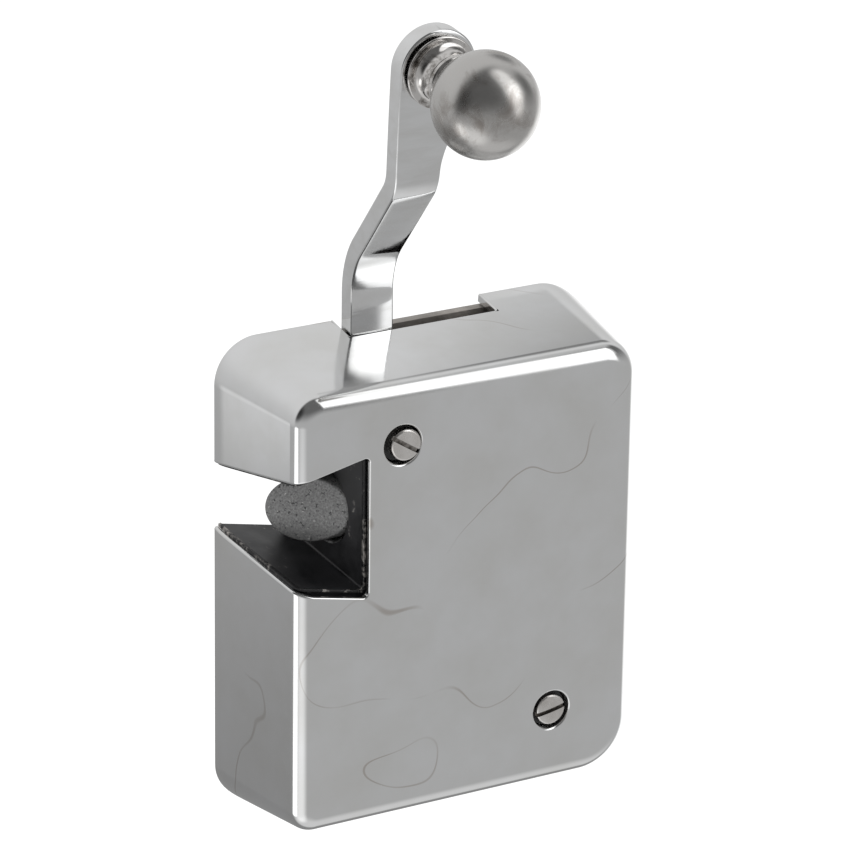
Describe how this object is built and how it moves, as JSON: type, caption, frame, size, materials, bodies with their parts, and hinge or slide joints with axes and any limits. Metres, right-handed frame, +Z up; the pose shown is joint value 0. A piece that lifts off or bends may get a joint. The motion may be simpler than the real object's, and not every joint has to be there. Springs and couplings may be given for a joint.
{
  "type": "toggle bolt latch",
  "caption": "Surface-mounted door latch: a chromed case with a side mouth, a bevelled spring bolt, and a cranked toggle lever with a ball knob that draws the bolt back.",
  "frame": {"origin": "centre of the case's back face, which meets the door", "axes": "+X to the right, away from the mouth; +Y into the door; +Z up, towards the knob"},
  "size_m": [0.0602, 0.0404, 0.1206],
  "materials": {
    "chrome": "polished chrome plate, faintly wavy with fine age lines",
    "nickel": "slightly dulled warm nickel",
    "screw_nickel": "bright turned nickel with fine scratches",
    "black_satin": "satin black, slightly mottled",
    "dark_plate": "dark browned steel",
    "grey_steel": "fine-grained dull grey steel",
    "bright_steel": "machined steel"
  },
  "bodies": {
    "case": {"front_cover": "chrome", "back_plate": "dark_plate", "strike_pocket": "black_satin", "bolt_spring": "bright_steel", "spring_washer": "bright_steel", "tail_bracket": "bright_steel", "pivot_stud": "bright_steel", "pivot_spacer": "bright_steel", "pivot_washer": "bright_steel", "pivot_clip": "bright_steel", "stop_pins": "bright_steel", "cover_post": "bright_steel", "plate_screws": "bright_steel", "cover_screw_upper": "screw_nickel", "cover_screw_lower": "screw_nickel"},
    "lever_arm": {"lever": "chrome", "drive_pin": "bright_steel", "knob": "nickel", "knob_screw": "bright_steel"},
    "bolt": {"latch_bolt": "grey_steel"}
  },
  "joints": [
    {"name": "lever_swing", "type": "hinge", "parent": "case", "child": "lever_arm", "pos_m": [-0.0076, -0.0037, -0.0215], "axis": [0, 1, 0], "range_deg": [0, 15.4]},
    {"name": "bolt_slide", "type": "slide", "parent": "case", "child": "bolt", "axis": [1, 0, 0], "range_m": [0, 0.0091], "stiffness_N_per_m": 300, "springref_m": -0.01, "deforming": ["bolt_spring"]}
  ],
  "couplings": [
    {"joint": "bolt_slide", "follows": "lever_swing", "m_per_rad": 0.03359}
  ]
}
